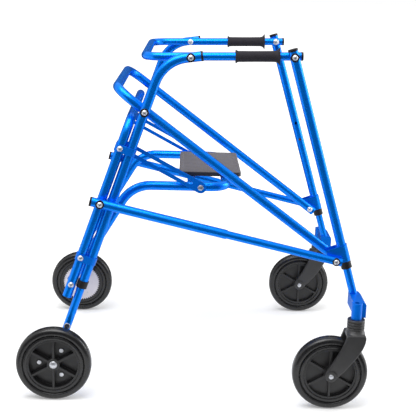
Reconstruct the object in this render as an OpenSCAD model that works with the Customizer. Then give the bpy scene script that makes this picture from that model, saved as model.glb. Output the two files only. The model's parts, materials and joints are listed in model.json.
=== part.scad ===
// Posterior walker: a folding tube frame on wheels that stands behind its user.
// Millimetres, Z up, X forward, Y to the user's left, origin on the floor under the middle.

/* [Overall] */
// Distance from the rear axle to the caster axle
wheelbase = 651; // [630:1:680]
// Lateral offset of the upright tubes from the middle
frame_half_width = 252; // [240:1:280]
// Lateral step between neighbouring tubes
plane_step = 25; // [24.5:0.1:27]
// Lateral offset from the upright tubes to the wheels
wheel_outset = 53; // [53:0.5:60]
// Curve fineness
$fn = 48;

/* [Tubes] */
// Diameter of the outer tubes
outer_tube_diameter = 22.2; // [21.6:0.1:22.6]
// Diameter of the telescoping tubes and the handlebar
inner_tube_diameter = 19; // [18:0.1:19.2]
// Radial play of the telescoping tubes
slide_play = 0.3; // [0.2:0.05:0.5]
// Wall of the telescoping tubes and the handlebar
inner_tube_wall = 1.8; // [1.2:0.1:2.5]

/* [Rear frame] */
// Lean of the rear tubes from the vertical
lean_angle = 19.1; // [18.5:0.1:19.7]
// Height of the lower ends of the rear uprights
upright_low_height = 278; // [270:1:290]
// Height of the swing frame pivot
swing_pivot_height = 682.4; // [670:0.2:695]
// Distance of the handle pivot ahead of the rear axle
handle_pivot_forward = 307.6; // [300:0.2:315]
// Height of the handle pivot
handle_pivot_height = 808.8; // [800:0.2:818]
// Slope of the front ends of the rear uprights
upper_slope = 8; // [5:0.5:12]
// Bend radius of the rear uprights
upright_bend_radius = 85; // [70:1:95]
// Reach of the rear uprights beyond the handle pivot
upright_reach = 23; // [18:0.5:28]
// Distance of the hoop tube behind the uprights
hoop_setback = 24.5; // [24:0.1:27]
// Height of the top of the rear hoop
hoop_top_height = 665.5; // [655:0.5:668]
// Height of the lower ends of the rear hoop
hoop_low_height = 238; // [230:1:248]
// Bend radius of the hoop corners
hoop_corner_radius = 45; // [38:1:60]
// Height of the upper clamps
clamp_high_height = 599; // [590:1:606]
// Height of the lower clamps
clamp_low_height = 336; // [325:1:350]
// Length of a clamp band along the tubes
clamp_length = 18; // [12:0.5:24]
// Wall of a clamp band
clamp_wall = 2.2; // [1.6:0.1:3]
// Height of the stay pivots
stay_pivot_height = 472; // [460:1:485]
// Height of the seat pivots
seat_pivot_height = 269; // [262:1:278]

/* [Front frame] */
// Distance of the front handle pivot ahead of the rear axle
front_pivot_forward = 541.2; // [535:0.2:548]
// Height of the front handle pivot
front_pivot_height = 814.7; // [808:0.1:821]
// Lean of the front uprights from the vertical
front_lean_angle = 16.8; // [16.4:0.1:17.2]
// Length of a front upright above its handle pivot
upright_top_rise = 14; // [12:0.5:15]
// Height of the lower ends of the front uprights
front_low_height = 340; // [330:1:345]
// Distance of the ear pivot ahead of the rear axle
ear_pivot_forward = 658.7; // [654:0.1:661]
// Height of the ear pivot
ear_pivot_height = 345.5; // [342:0.5:352]
// Length of the welded ear sleeve
ear_sleeve_length = 40; // [34:1:50]
// Outside diameter of the welded ear sleeve
ear_sleeve_diameter = 27; // [26:0.1:27.2]
// Thickness of an ear
ear_thickness = 3; // [2.5:0.1:3.5]
// Radius of the rounded end of an ear
ear_radius = 12.5; // [11:0.5:14]
// Rise of an ear above its pivot, along the upright
ear_rise = 28; // [24:0.5:29]

/* [Swing frame and handlebar] */
// Distance of the swing frame's rear loop beyond its pivot
swing_loop_reach = 83; // [75:1:95]
// Bend radius of the swing frame corners
swing_corner_radius = 50; // [40:1:60]
// Reach of the swing frame beyond the ear pivot
swing_end_reach = 14; // [12:0.5:17]
// Distance of the handlebar's rear loop behind the handle pivot
handle_loop_reach = 104.6; // [95:0.2:112]
// Bend radius of the handlebar corners
handle_corner_radius = 42; // [35:1:55]
// Reach of the handlebar beyond the front handle pivot
handle_end_reach = 17; // [14:0.5:22]
// Distance from the handle pivot to the rear end of a grip
grip_start = 101.4; // [96:0.2:102]
// Length of a grip
grip_length = 101; // [94:0.5:101]
// Diameter of a grip
grip_diameter = 25; // [24:0.5:27]
// Diameter of the rear flange of a grip
grip_rear_flange_diameter = 31; // [28:0.5:34]
// Diameter of the front flange of a grip
grip_front_flange_diameter = 41; // [36:0.5:42]
// Length of the front flange of a grip
grip_front_flange_length = 10; // [7:0.5:12]
// Length of the rear flange of a grip
grip_rear_flange_length = 5; // [4:0.5:7]

/* [Wheels] */
// Diameter of the wheels
wheel_diameter = 178; // [172:1:180]
// Width of the tyres
tyre_width = 32; // [29:0.5:32]
// Diameter of the hubs
hub_diameter = 124; // [118:1:128]
// Radial depth of a hub rim
hub_rim_depth = 4; // [3:0.5:6]
// Depth from the hub face to the floor of its recess
recess_depth = 17; // [12:0.5:19]
// Inset of the hub face behind the tyre side
hub_face_inset = 2; // [1:0.5:4]
// Width of a hub rib
rib_width = 5; // [4:0.5:7]
// Number of hub ribs
rib_count = 6; // [5:1:8]
// Diameter of the hub boss
boss_diameter = 30; // [26:1:34]
// Diameter of the axles
axle_diameter = 8; // [7:0.5:9]
// Diameter of the ratchet discs
ratchet_diameter = 106; // [100:1:108]
// Number of ratchet teeth
tooth_count = 52; // [48:1:72]
// Depth of a ratchet tooth
tooth_depth = 4; // [3:0.1:4.5]
// Thickness of a ratchet disc
ratchet_thickness = 4; // [3:0.1:4.2]
// Radius of the hub screw circle
screw_circle_radius = 35; // [30:0.5:38]
// Diameter of a hub screw head
screw_head_diameter = 10; // [8:0.5:11]

/* [Casters] */
// Lateral offset from the upright tubes to the casters
caster_outset = 77; // [70:0.5:82]
// Distance of the swivel axis ahead of the caster axle
caster_trail = 55; // [50:0.5:58]
// Height of the top of the caster fork
fork_top_height = 222.4; // [221:0.2:222.6]
// Height of the fork collar
collar_height = 26; // [22:0.5:28]
// Diameter of the fork collar
collar_diameter = 41; // [38:0.5:42]
// Thickness of a fork arm
fork_arm_thickness = 9; // [8:0.5:10]
// Half of the gap between the fork arms
fork_half_gap = 20; // [19:0.5:21]
// Radius of the fork end round the axle
fork_end_radius = 17; // [15:0.5:19]
// Diameter of the swivel stem
stem_diameter = 12; // [10:0.5:13]
// Outside diameter of the stem housing
stem_housing_diameter = 25; // [22:0.5:26]
// Height of the underside of the stem adapter
adapter_low_height = 223; // [222.9:0.1:226]
// Height of the stem adapter block
adapter_block_height = 37; // [30:0.5:38]
// Height of the stem housing
stem_housing_height = 39; // [35:0.5:44]
// Height of the lower ends of the front legs
front_leg_low_height = 228; // [227:0.5:232]

/* [Stays] */
// Reach of a stay behind its rear pivot
stay_rear_reach = 20; // [16:0.5:24]
// Length of a stay's outer tube ahead of its rear pivot
stay_outer_length = 301; // [290:1:310]
// Overlap of the stay tubes
stay_overlap = 68; // [50:1:70]
// Reach of a stay beyond the ear pivot
stay_front_reach = 14; // [12:0.5:17]

/* [Seat] */
// Lateral offset of the seat tubes from the upright tubes
seat_tube_inset = 56.5; // [56:0.5:62]
// Slope of the lower seat tubes
seat_slope = 58.9; // [57:0.1:60]
// Height of the level seat tubes
seat_level_height = 499.5; // [492:0.5:506]
// Bend radius of the seat tubes
seat_bend_radius = 80; // [70:1:90]
// Distance of the front seat tube ahead of the rear axle
seat_front_forward = 400; // [390:1:410]
// Bend radius of the seat frame's front corners
seat_corner_radius = 40; // [34:1:50]
// Distance of the link bolt ahead of the rear axle
link_bolt_forward = 338; // [332:0.5:344]
// Thickness of a seat link
link_thickness = 3.6; // [3:0.1:4]
// Width of a seat link
link_width = 27; // [24:0.5:29]
// Width of the slot in a seat link
slot_width = 9.5; // [8:0.5:12]
// Distance of the rear edge of the pad ahead of the rear axle
pad_rear_forward = 286; // [278:1:292]
// Depth of the pad from its rear edge to its front edge
pad_depth = 152; // [140:1:160]
// Width of the pad
pad_width = 260; // [240:1:300]
// Thickness of the pad at its middle
pad_thickness = 16; // [12:0.5:18]

/* [Hardware] */
// Diameter of the bolts
bolt_diameter = 6; // [5:0.5:7]
// Diameter of the bolt heads
bolt_head_diameter = 14; // [11:0.5:15]
// Height of the bolt heads
bolt_head_height = 4; // [3:0.1:5]
// Diameter of the spacers
spacer_diameter = 14; // [12:0.5:15]
// Diameter of the tube bushes
bush_diameter = 26; // [25:0.1:26.4]
// Height of the tube bushes
bush_height = 18; // [14:0.5:22]
// Length of a black end ring or cap that shows
cap_length = 5; // [3:0.5:6]
// Diameter of a snap button
snap_diameter = 7; // [6:0.2:8]
// Distance of the snap button below the front handle pivot, along the tube
snap_drop = 284; // [270:1:300]
// Distance between the snap holes
snap_hole_pitch = 48; // [40:1:60]

/* [Hidden] */
cut_overrun = 2;
joint_lap = 1.5;
joint_step = 0.05;
running_fit = 0.08;
seat_fit = 0.05;
face_gap = 0.4;
cap_insert = 8;
cap_rim = 0.3;
nut_height = 4;
nut_diameter = 15;
thin_head_height = 2.2;
axle_head_diameter = 16;
axle_cap_diameter = 19;
leg_overlap = 230;
rear_leg_overlap = 180;
leg_foot = 14;
adapter_depth = 30;
adapter_inner_reach = 12;
chamfer = 6;
crown_depth = 13;
crown_flare = 1.2;
groove_count = 3;
ring_groove = 2;
ring_pitch = 6.5;
ring_cut = 2.4;
rear_edge_shares = [0.1, 0.36];
front_edge_shares = [0.6, 0.62];
shoulder_shares = [0.06, 0.3];
heel_shares = [0.88, 0.47];
sidewall_dip = 2.5;
bead_width = 7;
shoulder_depth = 9;
shoulder_step = 3;
tread_step = 5;
rib_drop = 1.5;
caster_web = 6;
screw_diameter = 5;
screw_head_height = 3;
tooth_share = 0.65;
pawl_thickness = 3.4;
pawl_gap = 0.7;
pawl_nose_gap = 0.7;
pawl_nose_angle = 45;
pawl_nose_width = 5;
pawl_eye_diameter = 14;
pawl_sleeve_diameter = 11;
pawl_rise = 76;
seat_foot = 14;
seat_bar_forward = 316;
pad_corner_radius = 12;
pad_edge_radius = 5;
crown_inset = 14;
pad_steps = 8;
snap_neck = 6;
snap_rim = 2;
snap_play = 1;
ear_inset = 0.2;
ear_slant = 2;
link_gap = 0.6;
half_base = wheelbase / 2;
axle_height = wheel_diameter / 2;
outer_bore = inner_tube_diameter + 2 * slide_play;
inner_bore = inner_tube_diameter - 2 * inner_tube_wall;
outer_radius = outer_tube_diameter / 2;
inner_radius = inner_tube_diameter / 2;
bolt_bore = bolt_diameter + 2 * running_fit;
arm_y = frame_half_width - plane_step;
stay_y = frame_half_width + plane_step;
wheel_y = frame_half_width + wheel_outset;
caster_y = frame_half_width + caster_outset;
seat_y = frame_half_width - seat_tube_inset;
inner_tube_face = frame_half_width - outer_radius;
outer_tube_face = frame_half_width + outer_radius;
tube_angle = 90 - lean_angle;
front_angle = 90 + front_lean_angle;
swivel_forward = wheelbase + caster_trail;
ear_out = frame_half_width + ear_sleeve_diameter / 2 - ear_inset;
ear_in = frame_half_width - ear_sleeve_diameter / 2 + ear_inset;
link_face = seat_y + outer_radius + link_gap + link_thickness;
ratchet_in = wheel_y - tyre_width / 2 - ratchet_thickness;
pawl_out = wheel_y - tyre_width / 2 - pawl_gap;

// A point in the side view, from its distance ahead of the rear axle and its height
function spot(forward, height) = [forward - half_base, height];

// A direction in the side view, from its angle above level
function heading(angle) = [cos(angle), sin(angle)];

// A point on the rear upright or, with a setback, on the hoop
function lean_spot(height, setback) =
    spot((height - axle_height) * tan(lean_angle) - setback / cos(lean_angle), height);

// A point on the front upright at a height
function front_spot(height) =
    spot(front_pivot_forward + (front_pivot_height - height) * tan(front_lean_angle), height);

// The crossing of two lines given by a point and an angle each
function meet(point, angle, other, other_angle) =
    point + heading(angle) * ((other[0] - point[0]) * sin(other_angle)
    - (other[1] - point[1]) * cos(other_angle)) / sin(other_angle - angle);

// The angle of a line from one point to another
function slope_of(from, to) = atan2(to[1] - from[1], to[0] - from[0]);

swing_pivot = lean_spot(swing_pivot_height, 0);
handle_pivot = spot(handle_pivot_forward, handle_pivot_height);
front_pivot = spot(front_pivot_forward, front_pivot_height);
ear_pivot = spot(ear_pivot_forward, ear_pivot_height);
stay_pivot = lean_spot(stay_pivot_height, hoop_setback);
seat_pivot = lean_spot(seat_pivot_height, hoop_setback);
clamp_high = lean_spot(clamp_high_height, hoop_setback);
clamp_low = lean_spot(clamp_low_height, hoop_setback);
link_bolt = spot(link_bolt_forward, seat_level_height);
rear_axle = spot(0, axle_height);
caster_axle = spot(wheelbase, axle_height);
pawl_foot = lean_spot(axle_height + pawl_rise, 0);
upright_corner = meet(rear_axle, tube_angle, handle_pivot, upper_slope);
upright_tangent = upright_bend_radius * tan((tube_angle - upper_slope) / 2);
upright_straight = max(norm(handle_pivot - upright_corner), upright_tangent) + upright_reach;
upright_tip = upright_corner + heading(upper_slope) * upright_straight;
front_low = front_spot(front_low_height);
ear_reach = norm(front_spot(ear_pivot_height) - ear_pivot) * cos(front_lean_angle);
ear_foot = ear_pivot + heading(front_angle - 90) * ear_reach;
ear_along = (ear_foot - front_low) * heading(front_angle);
sleeve_end = max(ear_sleeve_length, ear_along + ear_rise);
front_end = front_low + heading(front_angle) * min(0, ear_along - ear_radius);
handle_slope = slope_of(handle_pivot, front_pivot);
swing_slope = slope_of(swing_pivot, ear_pivot);
stay_slope = slope_of(stay_pivot, ear_pivot);
link_slope = slope_of(clamp_high, link_bolt);
link_length = norm(link_bolt - clamp_high);
stay_length = norm(ear_pivot - stay_pivot);
handle_span = norm(front_pivot - handle_pivot);
snap_spot = front_pivot - heading(front_angle) * snap_drop;
snap_hole_spot = snap_spot + heading(front_angle) * snap_hole_pitch;
pad_seat_height = seat_level_height + outer_radius + joint_step + seat_fit;
seat_corner = meet(seat_pivot, seat_slope, link_bolt, 0);

// A straight round bar between two points of the side view
module rod(from, to, side, diameter) {
    translate([from[0], side, from[1]])
        rotate([0, 90 - slope_of(from, to), 0])
            cylinder(d = diameter, h = norm(to - from));
}

// A round bar across the part, from one lateral offset to another
module cross_rod(point, low, high, diameter) {
    translate([point[0], low, point[1]])
        rotate([-90, 0, 0])
            cylinder(d = diameter, h = high - low);
}

// A bar that turns clockwise from one straight to the next; the straights lap into the bend
module bent_rod(from, corner, to, bend_radius, side, diameter) {
    first = slope_of(from, corner);
    second = slope_of(corner, to);
    tangent = bend_radius * tan((first - second) / 2);
    start = corner - heading(first) * (tangent - joint_lap);
    finish = corner + heading(second) * tangent;
    centre = finish + heading(second - 90) * bend_radius;
    rod(from, start, side, diameter);
    rod(finish - heading(second) * joint_lap, to, side, diameter);
    translate([centre[0], side, centre[1]])
        rotate([90, 0, 0])
            rotate([0, 0, second + 90])
                rotate_extrude(angle = first - second)
                    translate([bend_radius, 0])
                        circle(d = diameter + 2 * joint_step);
}

// A U of round bar: the closed end crosses at X zero and the arms run along X
module u_rod(arm_length, half_span, corner_radius, diameter) {
    for (side = [-1, 1]) {
        translate([corner_radius, side * half_span, 0])
            rotate([0, 90, 0])
                cylinder(d = diameter, h = arm_length - corner_radius);
        translate([corner_radius, side * (half_span - corner_radius), 0])
            rotate([0, 0, side > 0 ? 90 : 180])
                rotate_extrude(angle = 90)
                    translate([corner_radius, 0])
                        circle(d = diameter);
    }
    translate([0, corner_radius - half_span, 0])
        rotate([-90, 0, 0])
            cylinder(d = diameter, h = 2 * (half_span - corner_radius));
}

// Both the left piece and its mirror image
module both_sides() {
    children();
    mirror([0, 1, 0])
        children();
}

// A shallow dome that faces outward or, with way -1, inward
module dome(point, base, diameter, height, way = 1) {
    dome_radius = (diameter * diameter / 4 + height * height) / (2 * height);
    tip = base + way * height;
    intersection() {
        translate([point[0], tip - way * dome_radius, point[1]])
            sphere(r = dome_radius);
        cross_rod(point, min(base, tip), max(base, tip), diameter);
    }
}

// A bolt across the part with a domed head on the outside
module plain_bolt(point, low, high, head_diameter, head_height) {
    cross_rod(point, low, high + seat_fit, bolt_diameter);
    dome(point, high, head_diameter, head_height);
}

// The same with a domed nut on the inside
module bolt(point, low, high, head_diameter, head_height) {
    plain_bolt(point, low - nut_height / 2, high, head_diameter, head_height);
    dome(point, low, nut_diameter, nut_height, -1);
}

// One rear upright: straight up the leg, then a bend forward to the handle pivot
module rear_upright() {
    low = lean_spot(upright_low_height, 0);
    corner = upright_corner;
    tip = upright_tip;
    below = low - heading(tube_angle) * cut_overrun;
    beyond = tip + heading(upper_slope) * cut_overrun;
    difference() {
        bent_rod(low, corner, tip, upright_bend_radius, frame_half_width, outer_tube_diameter);
        bent_rod(below, corner, beyond, upright_bend_radius, frame_half_width, outer_bore);
        for (point = [swing_pivot, handle_pivot])
            cross_rod(point, inner_tube_face - cut_overrun, outer_tube_face + cut_overrun, bolt_bore);
    }
}

module rear_upright_left() {
    color("royalblue")
        rear_upright();
}

module rear_upright_right() {
    color("royalblue")
        mirror([0, 1, 0])
            rear_upright();
}

// Inverted U behind the uprights
module rear_hoop() {
    top = lean_spot(hoop_top_height, hoop_setback);
    arm = (hoop_top_height - hoop_low_height) / cos(lean_angle);
    color("royalblue")
        difference() {
            translate([top[0], 0, top[1]])
                rotate([0, 90 + lean_angle, 0])
                    u_rod(arm, frame_half_width, hoop_corner_radius, outer_tube_diameter);
            translate([top[0], 0, top[1]])
                rotate([0, 90 + lean_angle, 0])
                    u_rod(arm + cut_overrun, frame_half_width, hoop_corner_radius, outer_bore);
            both_sides()
                for (point = [clamp_high, clamp_low, stay_pivot, seat_pivot])
                    cross_rod(point, inner_tube_face - cut_overrun, outer_tube_face + cut_overrun,
                        bolt_bore);
        }
}

// One oval band round an upright and the hoop
module clamp_band(point) {
    band_diameter = outer_tube_diameter + 2 * clamp_wall;
    tube_hole = outer_tube_diameter + 2 * seat_fit;
    difference() {
        translate([point[0], frame_half_width, point[1]])
            rotate([0, lean_angle, 0])
                linear_extrude(clamp_length, center = true)
                    difference() {
                        union() {
                            circle(d = band_diameter);
                            translate([hoop_setback, 0])
                                circle(d = band_diameter);
                            translate([0, -band_diameter / 2])
                                square([hoop_setback, band_diameter]);
                        }
                        circle(d = tube_hole);
                        translate([hoop_setback, 0])
                            circle(d = tube_hole);
                    }
        cross_rod(point, inner_tube_face - bolt_head_diameter, outer_tube_face + bolt_head_diameter,
            bolt_bore);
    }
}

module upright_clamps() {
    color("mediumblue")
        both_sides()
            for (point = [clamp_high, clamp_low])
                clamp_band(point);
}

// Bolts through the bands; the upper ones carry the spacers behind the seat links
module clamp_bolts() {
    band_in = inner_tube_face - clamp_wall;
    band_out = outer_tube_face + clamp_wall;
    color("silver")
        both_sides() {
            bolt(clamp_low, band_in, band_out, bolt_head_diameter, bolt_head_height);
            plain_bolt(clamp_high, band_in, band_out, bolt_head_diameter, bolt_head_height);
            cross_rod(clamp_high, link_face + face_gap, band_in, spacer_diameter);
        }
}

// Bolts on which the swing frame and the handlebar turn
module pivot_bolts() {
    swing_in = arm_y - outer_radius - face_gap;
    handle_in = arm_y - inner_radius - face_gap;
    color("silver")
        both_sides() {
            bolt(swing_pivot, swing_in, outer_tube_face, bolt_head_diameter, bolt_head_height);
            cross_rod(swing_pivot, arm_y + outer_radius + face_gap, inner_tube_face, spacer_diameter);
            bolt(handle_pivot, handle_in, outer_tube_face, bolt_head_diameter, bolt_head_height);
            cross_rod(handle_pivot, arm_y + inner_radius + face_gap, inner_tube_face, spacer_diameter);
        }
}

// Bolts on which the stays turn
module stay_bolts() {
    stay_out = stay_y + outer_radius + face_gap;
    color("silver")
        both_sides() {
            bolt(stay_pivot, inner_tube_face, stay_out, bolt_head_diameter, bolt_head_height);
            cross_rod(stay_pivot, outer_tube_face, stay_y - outer_radius - face_gap, spacer_diameter);
        }
}

// Long bolts with spacers on which the seat turns
module seat_bolts() {
    seat_in = seat_y - outer_radius - face_gap;
    color("silver")
        both_sides() {
            bolt(seat_pivot, seat_in, outer_tube_face, bolt_head_diameter, bolt_head_height);
            cross_rod(seat_pivot, seat_y + outer_radius + face_gap, inner_tube_face, spacer_diameter);
        }
}

// A bush below the lower end of an outer tube, with the inner tube sliding through it
module tube_bush(low, angle) {
    foot = low - heading(angle) * bush_height;
    difference() {
        rod(foot, low, frame_half_width, bush_diameter);
        rod(foot - heading(angle) * cut_overrun, low + heading(angle) * cut_overrun, frame_half_width,
            outer_bore);
    }
}

module rear_bushes() {
    color("dimgray")
        both_sides()
            tube_bush(lean_spot(upright_low_height, 0), tube_angle);
}

// A cap with a thin rim on the end of a tube
module tube_cap(tip, angle, side, tube_diameter, bore) {
    rod(tip, tip + heading(angle) * cap_length, side, tube_diameter + 2 * cap_rim);
    rod(tip - heading(angle) * cap_insert, tip + heading(angle) * cap_length / 2, side, bore - 2 * seat_fit);
}

module upright_rings() {
    color("dimgray")
        both_sides()
            tube_cap(upright_tip, upper_slope, frame_half_width, outer_tube_diameter, outer_bore);
}

// One U of tube with the grips on its arms
module handlebar() {
    arm = handle_loop_reach + handle_span + handle_end_reach;
    color("royalblue")
        difference() {
            translate([handle_pivot[0], 0, handle_pivot[1]])
                rotate([0, -handle_slope, 0])
                    translate([-handle_loop_reach, 0, 0])
                        difference() {
                            u_rod(arm, arm_y, handle_corner_radius, inner_tube_diameter);
                            u_rod(arm + cut_overrun, arm_y, handle_corner_radius, inner_bore);
                        }
            both_sides()
                cross_rod(handle_pivot, arm_y - inner_tube_diameter, arm_y + inner_tube_diameter,
                    bolt_bore);
        }
}

// A grip with a small rear flange and a flared front flange
module grip() {
    flare = grip_length - grip_front_flange_length;
    translate([handle_pivot[0], arm_y, handle_pivot[1]])
        rotate([0, 90 - handle_slope, 0])
            translate([0, 0, grip_start])
                difference() {
                    union() {
                        cylinder(d = grip_diameter, h = grip_length);
                        cylinder(d = grip_rear_flange_diameter, h = grip_rear_flange_length);
                        translate([0, 0, flare])
                            cylinder(d1 = grip_rear_flange_diameter, d2 = grip_front_flange_diameter,
                                h = grip_front_flange_length / 2);
                        translate([0, 0, flare + grip_front_flange_length / 2])
                            cylinder(d = grip_front_flange_diameter, h = grip_front_flange_length / 2);
                    }
                    translate([0, 0, -cut_overrun])
                        cylinder(d = inner_tube_diameter + 2 * seat_fit, h = grip_length + 2 * cut_overrun);
                }
}

module grip_left() {
    color("dimgray")
        grip();
}

module grip_right() {
    color("dimgray")
        mirror([0, 1, 0])
            grip();
}

module handlebar_plugs() {
    color("dimgray")
        both_sides()
            tube_cap(front_pivot + heading(handle_slope) * handle_end_reach, handle_slope, arm_y,
                inner_tube_diameter, inner_bore);
}

// U of tube from the rear loop down to the ears of the front uprights
module swing_frame() {
    arm = swing_loop_reach + norm(ear_pivot - swing_pivot) + swing_end_reach;
    color("royalblue")
        difference() {
            translate([swing_pivot[0], 0, swing_pivot[1]])
                rotate([0, -swing_slope, 0])
                    translate([-swing_loop_reach, 0, 0])
                        difference() {
                            u_rod(arm, arm_y, swing_corner_radius, outer_tube_diameter);
                            u_rod(arm - ear_thickness, arm_y, swing_corner_radius, outer_bore);
                        }
            both_sides()
                for (point = [swing_pivot, ear_pivot])
                    cross_rod(point, arm_y - outer_tube_diameter, arm_y + outer_tube_diameter, bolt_bore);
        }
}

// Bolts in the swing frame's ends, on which the ears turn
module swing_bolts() {
    arm_in = arm_y - outer_radius;
    color("silver")
        both_sides() {
            cross_rod(ear_pivot, arm_in - nut_height / 2, ear_out, bolt_diameter);
            dome(ear_pivot, arm_in, nut_diameter, nut_height, -1);
        }
}

// One plate of an ear, from the upright's axis to the ear pivot
module ear_plate(high) {
    translate([ear_pivot[0], high, ear_pivot[1]])
        rotate([90, 0, 0])
            rotate([0, 0, front_angle - 90])
                linear_extrude(ear_thickness)
                    difference() {
                        union() {
                            circle(r = ear_radius);
                            polygon([[ear_reach, -ear_radius], [0, -ear_radius], [-ear_radius, 0],
                                [-ear_radius - ear_slant, ear_rise - ear_slant],
                                [ear_reach, ear_rise]]);
                        }
                        circle(d = bolt_bore);
                    }
}

// A front upright with its welded sleeve and ears
module front_upright() {
    low = front_end;
    top = front_pivot + heading(front_angle) * upright_top_rise;
    difference() {
        union() {
            rod(low, top, frame_half_width, outer_tube_diameter);
            rod(low, front_low + heading(front_angle) * sleeve_end, frame_half_width,
                ear_sleeve_diameter);
            ear_plate(ear_out);
            ear_plate(ear_in + ear_thickness);
        }
        rod(low - heading(front_angle) * cut_overrun, top + heading(front_angle) * cut_overrun,
            frame_half_width, outer_bore);
        cross_rod(front_pivot, inner_tube_face - cut_overrun, outer_tube_face + cut_overrun, bolt_bore);
        for (point = [snap_spot, snap_hole_spot])
            cross_rod(point, inner_tube_face - cut_overrun, frame_half_width, snap_diameter + snap_play);
    }
}

module front_upright_left() {
    color("royalblue")
        front_upright();
}

module front_upright_right() {
    color("royalblue")
        mirror([0, 1, 0])
            front_upright();
}

module front_bushes() {
    color("dimgray")
        both_sides()
            tube_bush(front_end, front_angle);
}

module upright_caps() {
    color("dimgray")
        both_sides()
            tube_cap(front_pivot + heading(front_angle) * upright_top_rise, front_angle,
                frame_half_width, outer_tube_diameter, outer_bore);
}

// Pins at the tops of the front uprights that meet the handlebar
module handle_pins() {
    handle_face = arm_y + inner_radius + face_gap;
    color("silver")
        both_sides() {
            plain_bolt(front_pivot, inner_tube_face, outer_tube_face, bolt_head_diameter,
                bolt_head_height);
            cross_rod(front_pivot, handle_face, inner_tube_face, spacer_diameter);
        }
}

// A front leg that telescopes in its upright
module front_leg() {
    low = front_spot(front_leg_low_height);
    top = front_low + heading(front_angle) * leg_overlap;
    difference() {
        rod(low, top, frame_half_width, inner_tube_diameter);
        rod(low - heading(front_angle) * cut_overrun, top + heading(front_angle) * cut_overrun,
            frame_half_width, inner_bore);
        cross_rod(snap_spot, inner_tube_face, frame_half_width, snap_diameter + 2 * running_fit);
    }
}

module front_leg_left() {
    color("royalblue")
        front_leg();
}

module front_leg_right() {
    color("royalblue")
        mirror([0, 1, 0])
            front_leg();
}

// Block from a front leg out to the swivel housing
module stem_adapter() {
    middle = front_spot(adapter_low_height + adapter_block_height / 2)[0];
    top = adapter_low_height + adapter_block_height;
    low = front_spot(front_leg_low_height);
    swivel = swivel_forward - half_base;
    rear = min(middle - adapter_depth / 2, swivel - stem_diameter / 2);
    front = max(middle + adapter_depth / 2, swivel + stem_diameter / 2);
    inner_end = frame_half_width - adapter_inner_reach;
    difference() {
        union() {
            translate([0, caster_y - stem_diameter / 2, 0])
                rotate([90, 0, 0])
                    linear_extrude(caster_y - stem_diameter / 2 - inner_end)
                        polygon([[rear + chamfer, adapter_low_height], [front, adapter_low_height],
                            [front, top - chamfer], [front - chamfer, top], [rear, top],
                            [rear, adapter_low_height + chamfer]]);
            translate([swivel, caster_y, adapter_low_height])
                cylinder(d = stem_housing_diameter, h = stem_housing_height);
        }
        rod(low, low + heading(front_angle) * leg_overlap, frame_half_width,
            inner_tube_diameter + 2 * seat_fit);
        translate([swivel, caster_y, adapter_low_height - cut_overrun])
            cylinder(d = stem_diameter + 2 * running_fit, h = stem_housing_height + 2 * cut_overrun);
    }
}

module stem_adapter_left() {
    color("mediumblue")
        stem_adapter();
}

module stem_adapter_right() {
    color("mediumblue")
        mirror([0, 1, 0])
            stem_adapter();
}

// A sprung button in the front leg, just inside the bore of the upright
module snap_button() {
    inside = frame_half_width - snap_neck;
    intersection() {
        cross_rod(snap_spot, frame_half_width - inner_tube_diameter, inside + snap_neck / 2, snap_diameter);
        rod(snap_spot - heading(front_angle) * snap_diameter,
            snap_spot + heading(front_angle) * snap_diameter, frame_half_width, outer_bore - face_gap);
    }
    cross_rod(snap_spot, inside + snap_rim / 2, inside + snap_neck / 2, snap_diameter + snap_rim);
}

module snap_button_left() {
    color("goldenrod")
        snap_button();
}

module snap_button_right() {
    color("goldenrod")
        mirror([0, 1, 0])
            snap_button();
}

// One arm of a caster fork, swept down and back to the axle
module fork_arm(high) {
    crown_half = collar_diameter / 2;
    crown_low = fork_top_height - collar_height;
    sweep = crown_low - axle_height;
    back = crown_half - caster_trail;
    translate([swivel_forward - half_base, high, 0])
        rotate([90, 0, 0])
            linear_extrude(fork_arm_thickness)
                difference() {
                    union() {
                        translate([-caster_trail, axle_height])
                            circle(r = fork_end_radius);
                        polygon([
                            [crown_half, crown_low],
                            [-crown_half, crown_low],
                            [-crown_half - caster_trail * rear_edge_shares[0],
                                crown_low - sweep * rear_edge_shares[1]],
                            [-caster_trail - fork_end_radius * heel_shares[0],
                                axle_height + fork_end_radius * heel_shares[1]],
                            [-caster_trail + fork_end_radius * heel_shares[0],
                                axle_height - fork_end_radius * heel_shares[1]],
                            [back + caster_trail * front_edge_shares[0],
                                crown_low - sweep * front_edge_shares[1]],
                            [crown_half - caster_trail * shoulder_shares[0],
                                crown_low - sweep * shoulder_shares[1]]]);
                    }
                    translate([-caster_trail, axle_height])
                        circle(d = axle_diameter + 2 * seat_fit);
                }
}

// Fork with a grooved collar, a crown over the wheel, two arms and the swivel stem
module caster_fork() {
    swivel = swivel_forward - half_base;
    collar_low = fork_top_height - collar_height;
    outer_half = fork_half_gap + fork_arm_thickness;
    difference() {
        union() {
            translate([swivel, caster_y, collar_low])
                cylinder(d = collar_diameter, h = collar_height);
            translate([swivel, caster_y, fork_top_height])
                cylinder(d = stem_diameter, h = stem_housing_height - chamfer);
            intersection() {
                union() {
                    translate([swivel, caster_y, collar_low - crown_depth])
                        linear_extrude(crown_depth)
                            square([collar_diameter, 2 * outer_half], center = true);
                    fork_arm(caster_y + outer_half);
                    fork_arm(caster_y - fork_half_gap);
                }
                translate([swivel, caster_y, 0])
                    cylinder(r1 = collar_diameter / 2 + collar_low * crown_flare, d2 = collar_diameter,
                        h = collar_low);
            }
        }
        for (step = [1 : groove_count])
            translate([swivel, caster_y, fork_top_height - step * ring_pitch])
                rotate_extrude()
                    translate([collar_diameter / 2 - ring_groove, 0])
                        square([ring_groove + cut_overrun, ring_cut]);
    }
}

module caster_fork_left() {
    color("darkslategray")
        caster_fork();
}

module caster_fork_right() {
    color("darkslategray")
        mirror([0, 1, 0])
            caster_fork();
}

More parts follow.
